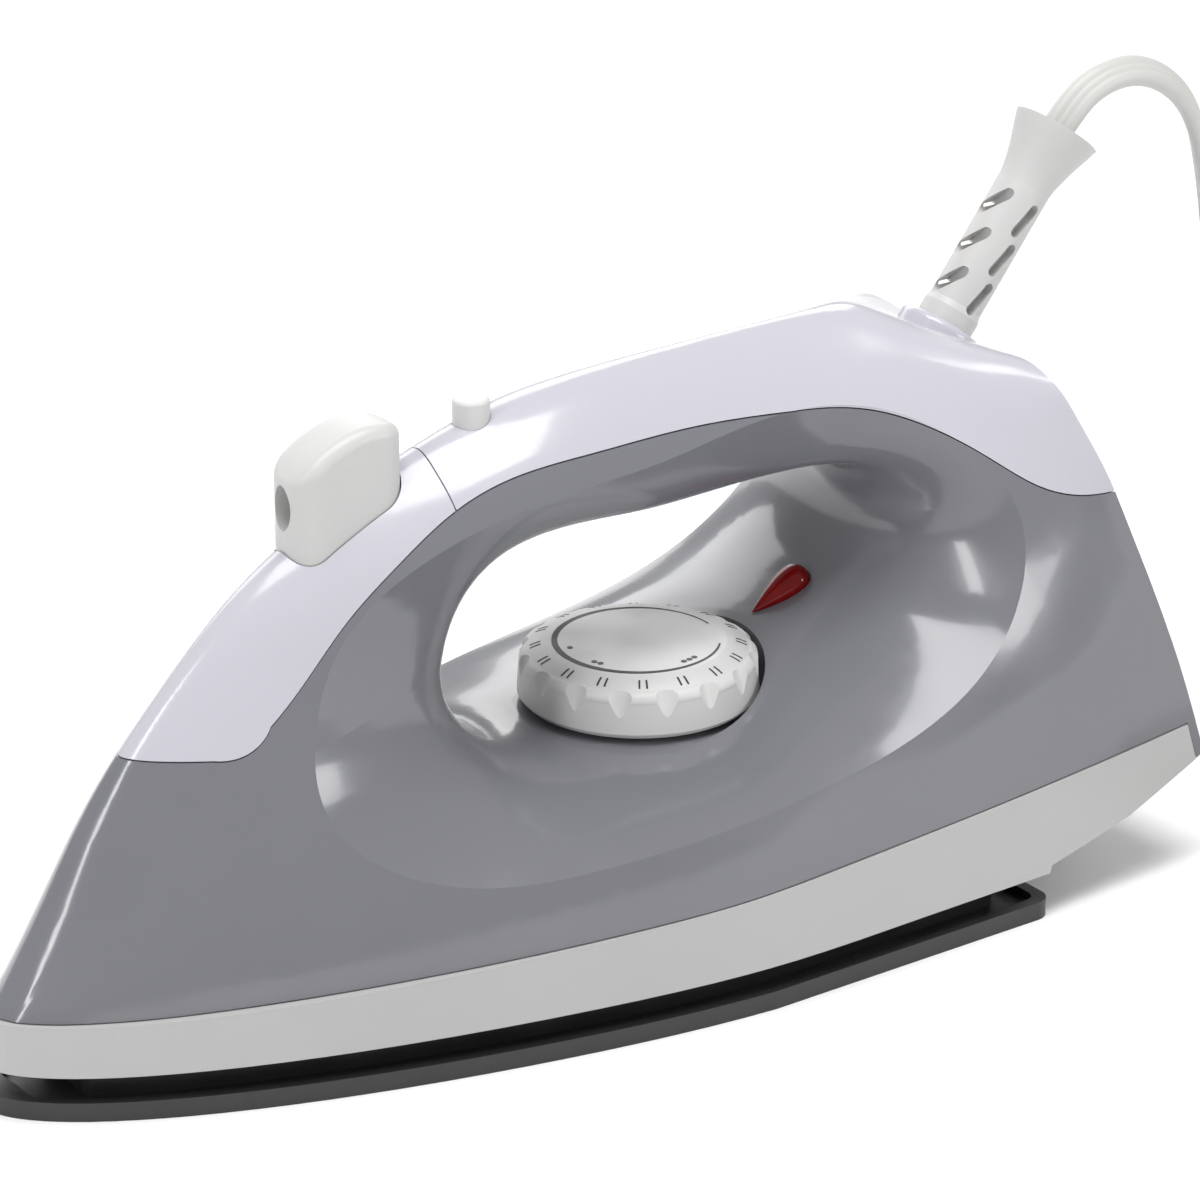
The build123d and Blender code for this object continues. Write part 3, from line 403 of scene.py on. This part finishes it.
class IRON_OT_stage(bpy.types.Operator):
    """Lay the studio floor, hang the soft lights and set the camera"""
    bl_idname = "iron.stage"
    bl_label = "Stage, Lights and Camera"

    def execute(self, context):
        settings = context.scene.iron_stage
        scene = context.scene
        scene.view_settings.view_transform = "Standard"
        angles = [math.tau * i / FLOOR_SIDES for i in range(FLOOR_SIDES)]
        floor = new_mesh(
            "studio_floor",
            [(FLOOR_RADIUS * math.cos(a), FLOOR_RADIUS * math.sin(a), 0) for a in angles],
            [tuple(range(FLOOR_SIDES))])
        material, tree, shader = new_finish("studio_floor_paper")
        cloud = texture(tree, "ShaderNodeTexNoise", 3)
        tree.links.new(
            tint(tree, spread(tree, cloud, 0, 1), shade(settings.floor, 0.995), settings.floor[:]),
            shader.inputs["Base Color"])
        shader.inputs["Roughness"].default_value = 0.9
        shader.inputs["Specular IOR Level"].default_value = 0.1
        paint(floor, material)

        world = bpy.data.worlds.new("soft_room")
        world.use_nodes = True
        scene.world = world
        sky = world.node_tree.nodes["Background"]
        sky.inputs["Color"].default_value = (1.0, 1.0, 1.0, 1)
        sky.inputs["Strength"].default_value = 0.40

        self.soft_box("overhead", (-0.05, -0.15, 1.5), (0.0, 0, 0), (1.2, 0.7), 19)
        self.soft_box("front_right", (0.75, -1.15, 0.36), (0.05, 0, 0.05), (0.45, 0.30), 3.5)
        self.soft_box("strip_left", (-1.35, -0.25, 0.75), (-0.05, 0, 0.06), (0.12, 1.1), 5)
        self.soft_box("rim_back", (0.5, 1.4, 0.7), (0.05, 0, 0.08), (1.6, 0.8), 9)

        lens = bpy.data.cameras.new("studio_camera")
        lens.lens = settings.lens
        lens.sensor_width = SENSOR_WIDTH
        camera = bpy.data.objects.new("studio_camera", lens)
        scene.collection.objects.link(camera)
        turn, lift = settings.azimuth, settings.elevation
        back = Vector((math.sin(turn) * math.cos(lift), -math.cos(turn) * math.cos(lift), math.sin(lift)))
        camera.location = Vector(LOOKED_AT) + back * settings.distance
        camera.rotation_mode = "QUATERNION"
        camera.rotation_quaternion = (-back).to_track_quat("-Z", "Y")
        scene.camera = camera
        return {"FINISHED"}

    def soft_box(self, name, place, target, size, power):
        """A rectangular light at a place, facing its target; sizes in metres, power in watts."""
        light = bpy.data.lights.new(name, "AREA")
        light.shape = "RECTANGLE"
        light.size, light.size_y = size
        light.energy = power
        lamp = bpy.data.objects.new(name, light)
        lamp.location = place
        lamp.rotation_mode = "QUATERNION"
        lamp.rotation_quaternion = (Vector(target) - Vector(place)).to_track_quat("-Z", "Y")
        bpy.context.scene.collection.objects.link(lamp)


class IRON_OT_cord(bpy.types.Operator):
    """Run the flat cord out of its guard, over its loop and into its tied coil"""
    bl_idname = "iron.cord"
    bl_label = "Mains Cord"

    def execute(self, context):
        settings = context.scene.iron_cord
        turns = coil_turns(settings.outer_turn, settings.inner_turn)
        line = smooth_line("cord_route", [*CORD_ROUTE, *turns, *TAIL_ROUTE])
        cord = sweep("flat_cord", line, flat_section(settings.width, settings.thickness), (0, 1, 0),
                     turned=settings.turn, until=TURN_EASES_OVER)
        paint(cord, moulding(
            "cord_vinyl", settings.colour[:], 0.42, mottle=0.02, grain=2600, strength=0.2))
        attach(cord, "root")
        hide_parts("cord", "cord_coil", "cord_tail")
        paint_nodes({"cord_vinyl": cord.data.materials[0]})
        return {"FINISHED"}


class IRON_OT_housing(bpy.types.Operator):
    """Give the housing, its covers and the skirt their glossy moulded finish"""
    bl_idname = "iron.housing"
    bl_label = "Housing and Covers"

    def execute(self, context):
        settings = context.scene.iron_housing
        paint_nodes({
            "grey_plastic": moulding(
                "grey_plastic", settings.grey[:], settings.gloss, mottle=0.02, grain=320,
                height=0.00002, strength=0.05, IOR=1.5, Coat_Weight=0.35, Coat_Roughness=0.06),
            "cover_plastic": moulding(
                "cover_plastic", settings.pearl[:], settings.gloss * 1.2, mottle=0.015, grain=320,
                height=0.00002, strength=0.05, IOR=1.5, Coat_Weight=0.25, Coat_Roughness=0.08),
            "skirt_plastic": moulding(
                "skirt_plastic", settings.skirt[:], 0.38, mottle=0.02, grain=1200, strength=0.12),
        })
        return {"FINISHED"}


class IRON_OT_sole(bpy.types.Operator):
    """Coat the soleplate and finish the element, shield and screws above it"""
    bl_idname = "iron.sole"
    bl_label = "Soleplate and Metalwork"

    def execute(self, context):
        paint_nodes({
            "nonstick_black": nonstick("nonstick_black"),
            "plated_steel": metal("plated_steel", (0.70, 0.70, 0.68), 0.28),
            "sheet_aluminium": metal("sheet_aluminium", (0.76, 0.77, 0.78), 0.34),
            "element_steel": metal("element_steel", (0.30, 0.28, 0.26), 0.45, stretch=(6, 6, 6)),
            "brass_plated": metal("brass_plated", (0.78, 0.74, 0.62), 0.24),
            "copper_strip": metal("copper_strip", (0.72, 0.42, 0.26), 0.30),
        })
        return {"FINISHED"}


class IRON_OT_controls(bpy.types.Operator):
    """Finish the dial, its printing, the spray button, the spray head and the pilot lens"""
    bl_idname = "iron.controls"
    bl_label = "Dial, Spray and Lamp"

    def execute(self, context):
        settings = context.scene.iron_controls
        paint_nodes({
            "dial_plastic": moulding(
                "dial_plastic", settings.knob[:], 0.42, mottle=0.015, grain=1500, strength=0.12),
            # Painted shade: the spray head is the same control white as the dial, darkened to nine tenths
            # to offset the fuller light on the head compared with the dial in the handle's shade.
            "head_plastic": moulding(
                "head_plastic", shade(settings.knob, 0.90), 0.36, mottle=0.015, grain=1500,
                strength=0.10),
            "print_ink": moulding(
                "print_ink", settings.ink[:], 0.55, mottle=0.2, grain=5000, strength=0.2),
            "red_lens": clear_red("red_lens", settings.lens[:]),
        })
        return {"FINISHED"}


class IRON_OT_guard(bpy.types.Operator):
    """Finish the rubber cord guard, the plug and the coil's tie"""
    bl_idname = "iron.guard"
    bl_label = "Guard, Plug and Tie"

    def execute(self, context):
        paint_nodes({
            "white_rubber": moulding(
                "white_rubber", (0.560, 0.560, 0.553), 0.46, mottle=0.02, grain=1400, strength=0.22,
                Subsurface_Weight=0.08, Subsurface_Scale=0.002),
            "tie_plastic": moulding("tie_plastic", (0.80, 0.80, 0.79), 0.40, grain=1800),
            "black_rubber": moulding(
                "black_rubber", (0.030, 0.030, 0.031), 0.60, mottle=0.1, grain=1800, strength=0.3),
        })
        return {"FINISHED"}


class IRON_OT_inside(bpy.types.Operator):
    """Finish the tank, the ceramic, the lamp and the wiring inside the housing"""
    bl_idname = "iron.inside"
    bl_label = "Inner Parts"

    def execute(self, context):
        paint_nodes({
            "steatite": moulding(
                "steatite", (0.76, 0.72, 0.64), 0.55, mottle=0.05, grain=2200, strength=0.3),
            "tank_plastic": moulding(
                "tank_plastic", (0.74, 0.78, 0.82), 0.24, mottle=0.03, Transmission_Weight=0.3),
            "silicone": moulding("silicone", (0.76, 0.76, 0.73), 0.42, mottle=0.03),
            "lamp_glass": moulding(
                "lamp_glass", (0.80, 0.62, 0.48), 0.08, mottle=0.05, Transmission_Weight=0.6),
            "wire_sleeve": moulding(
                "wire_sleeve", (0.70, 0.66, 0.54), 0.60, mottle=0.10, grain=3000, strength=0.5),
        })
        return {"FINISHED"}


class IRON_PT_panel(bpy.types.Panel):
    """The iron's steps, in the order that they are run"""
    bl_idname = "IRON_PT_panel"
    bl_label = "Clothes Iron"
    bl_space_type = "VIEW_3D"
    bl_region_type = "UI"
    bl_category = "Clothes Iron"

    def draw(self, context):
        for settings in (context.scene.iron_stage, context.scene.iron_cord,
                         context.scene.iron_housing, context.scene.iron_controls):
            box = self.layout.box()
            for name in settings.bl_rna.properties.keys():
                if name not in ("rna_type", "name"):
                    box.prop(settings, name)
        for step in STEPS:
            self.layout.operator(step.bl_idname)


SETTINGS = {
    "iron_housing": IronHousingSettings,
    "iron_controls": IronControlSettings,
    "iron_cord": IronCordSettings,
    "iron_stage": IronStageSettings,
}
STEPS = (
    IRON_OT_stage, IRON_OT_cord, IRON_OT_housing, IRON_OT_sole, IRON_OT_controls,
    IRON_OT_guard, IRON_OT_inside,
)


def register():
    for name, group in SETTINGS.items():
        bpy.utils.register_class(group)
        setattr(bpy.types.Scene, name, bpy.props.PointerProperty(type=group))
    for kind in (*STEPS, IRON_PT_panel):
        bpy.utils.register_class(kind)


def unregister():
    for kind in reversed((*STEPS, IRON_PT_panel)):
        bpy.utils.unregister_class(kind)
    for name, group in SETTINGS.items():
        delattr(bpy.types.Scene, name)
        bpy.utils.unregister_class(group)


def main():
    register()
    bpy.ops.iron.stage()
    bpy.ops.iron.cord()
    bpy.ops.iron.housing()
    bpy.ops.iron.sole()
    bpy.ops.iron.controls()
    bpy.ops.iron.guard()
    bpy.ops.iron.inside()


if __name__ == "__main__":
    main()
